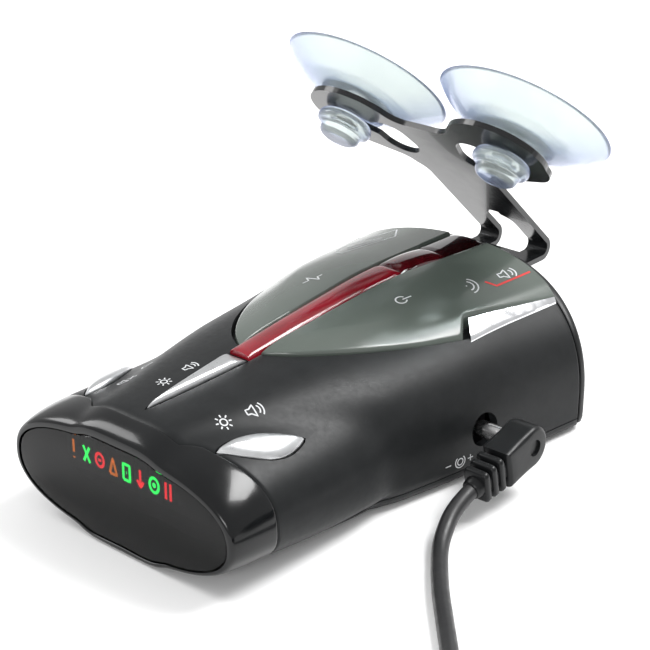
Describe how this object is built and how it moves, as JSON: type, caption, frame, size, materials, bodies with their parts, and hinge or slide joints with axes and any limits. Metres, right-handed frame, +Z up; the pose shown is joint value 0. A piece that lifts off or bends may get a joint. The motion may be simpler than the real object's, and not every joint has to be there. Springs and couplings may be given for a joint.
{
  "type": "radar detector",
  "caption": "Windscreen radar and laser detector with a smoked display, push buttons, top lens, slide-in bracket with suction cups, and a plug-in coiled power lead.",
  "frame": {"origin": "on the flat base, midway between the body's sides and near the middle of its length", "axes": "+Z up, -Y out of the display face, +X towards the power inlet's side"},
  "size_m": [0.1737, 0.1625, 0.0783],
  "materials": {
    "housing": "fine moulded grain",
    "rear_panel": "fine moulded grain",
    "bezel": "high gloss",
    "window": "smoked, glossy",
    "shield": "dull",
    "leds": "clear resin",
    "circuit_board": "solder mask",
    "lens": "tinted, glossy",
    "red_lens": "tinted red, glossy",
    "dark_red_lens": "tinted deep red, glossy",
    "trim": "bright satin",
    "button": "satin silver",
    "switch": "moulded",
    "antenna": "die cast",
    "sensor": "moulded",
    "speaker": "dull",
    "contact": "nickel plated",
    "inlet": "moulded",
    "screw": "zinc plated",
    "bracket_finish": "black gloss",
    "cup": "clear soft vinyl",
    "plug": "satin moulded",
    "cord": "satin sheath",
    "adapter": "satin moulded",
    "brass_tip": "turned",
    "fuse_glass": "clear"
  },
  "bodies": {
    "detector": {"lower_housing": "housing", "upper_housing": "housing", "rear_cover": "rear_panel", "front_bezel": "bezel", "display_window": "window", "led_shield": "shield", "indicator_leds": "leds", "display_board": "circuit_board", "left_top_lens": "lens", "right_top_lens": "lens", "light_strip": "red_lens", "laser_eye": "dark_red_lens", "strip_tail": "dark_red_lens", "left_trim": "trim", "right_trim": "trim", "tact_switches": "switch", "main_board": "circuit_board", "horn_antenna": "antenna", "laser_receiver": "sensor", "strip_leds": "leds", "speaker": "speaker", "dc_jack": "inlet", "jack_pin": "contact", "bracket_sleeve": "switch", "housing_screws": "screw"},
    "select_key": {"select_button": "button"},
    "left_key": {"left_button": "button"},
    "right_key": {"right_button": "button"},
    "bracket": {"bracket": "bracket_finish"},
    "left_suction_cup": {"left_cup": "cup"},
    "right_suction_cup": {"right_cup": "cup"},
    "power_lead": {"plug_shell": "plug", "plug_barrel": "contact", "plug_insulator": "switch", "plug_boot": "plug", "cord_lead": "cord", "cord_coil": "cord", "cord_tail": "cord", "cord_tie": "switch", "adapter_body": "adapter", "adapter_nose": "adapter", "adapter_spring": "screw", "adapter_contacts": "contact", "adapter_fuse": "fuse_glass", "adapter_grommet": "plug"},
    "adapter_contact": {"adapter_tip": "brass_tip"}
  },
  "joints": [
    {"name": "bracket_slide", "type": "slide", "parent": "detector", "child": "bracket", "axis": [0, 1, 0], "range_m": [0, 0.012]},
    {"name": "left_cup_turn", "type": "hinge", "parent": "bracket", "child": "left_suction_cup", "pos_m": [-0.0203, 0.03657, 0.05948], "axis": [0, 0.6769, 0.7361], "range_deg": [-180, 180]},
    {"name": "right_cup_turn", "type": "hinge", "parent": "bracket", "child": "right_suction_cup", "pos_m": [0.0203, 0.03657, 0.05948], "axis": [0, 0.6769, 0.7361], "range_deg": [-180, 180]},
    {"name": "select_press", "type": "slide", "parent": "detector", "child": "select_key", "axis": [0, 0, -1], "range_m": [0, 0.0006], "stiffness_N_per_m": 400, "springref_m": -0.0015},
    {"name": "left_press", "type": "slide", "parent": "detector", "child": "left_key", "axis": [0, 0, -1], "range_m": [0, 0.0006], "stiffness_N_per_m": 400, "springref_m": -0.0015},
    {"name": "right_press", "type": "slide", "parent": "detector", "child": "right_key", "axis": [0, 0, -1], "range_m": [0, 0.0006], "stiffness_N_per_m": 400, "springref_m": -0.0015},
    {"name": "plug_slide", "type": "slide", "parent": "detector", "child": "power_lead", "axis": [1, 0, 0], "range_m": [-0.0045, 0.012]},
    {"name": "tip_press", "type": "slide", "parent": "power_lead", "child": "adapter_contact", "axis": [0.497, -0.8678, 0], "range_m": [0, 0.002], "stiffness_N_per_m": 500, "springref_m": -0.003, "deforming": ["adapter_spring"]}
  ]
}
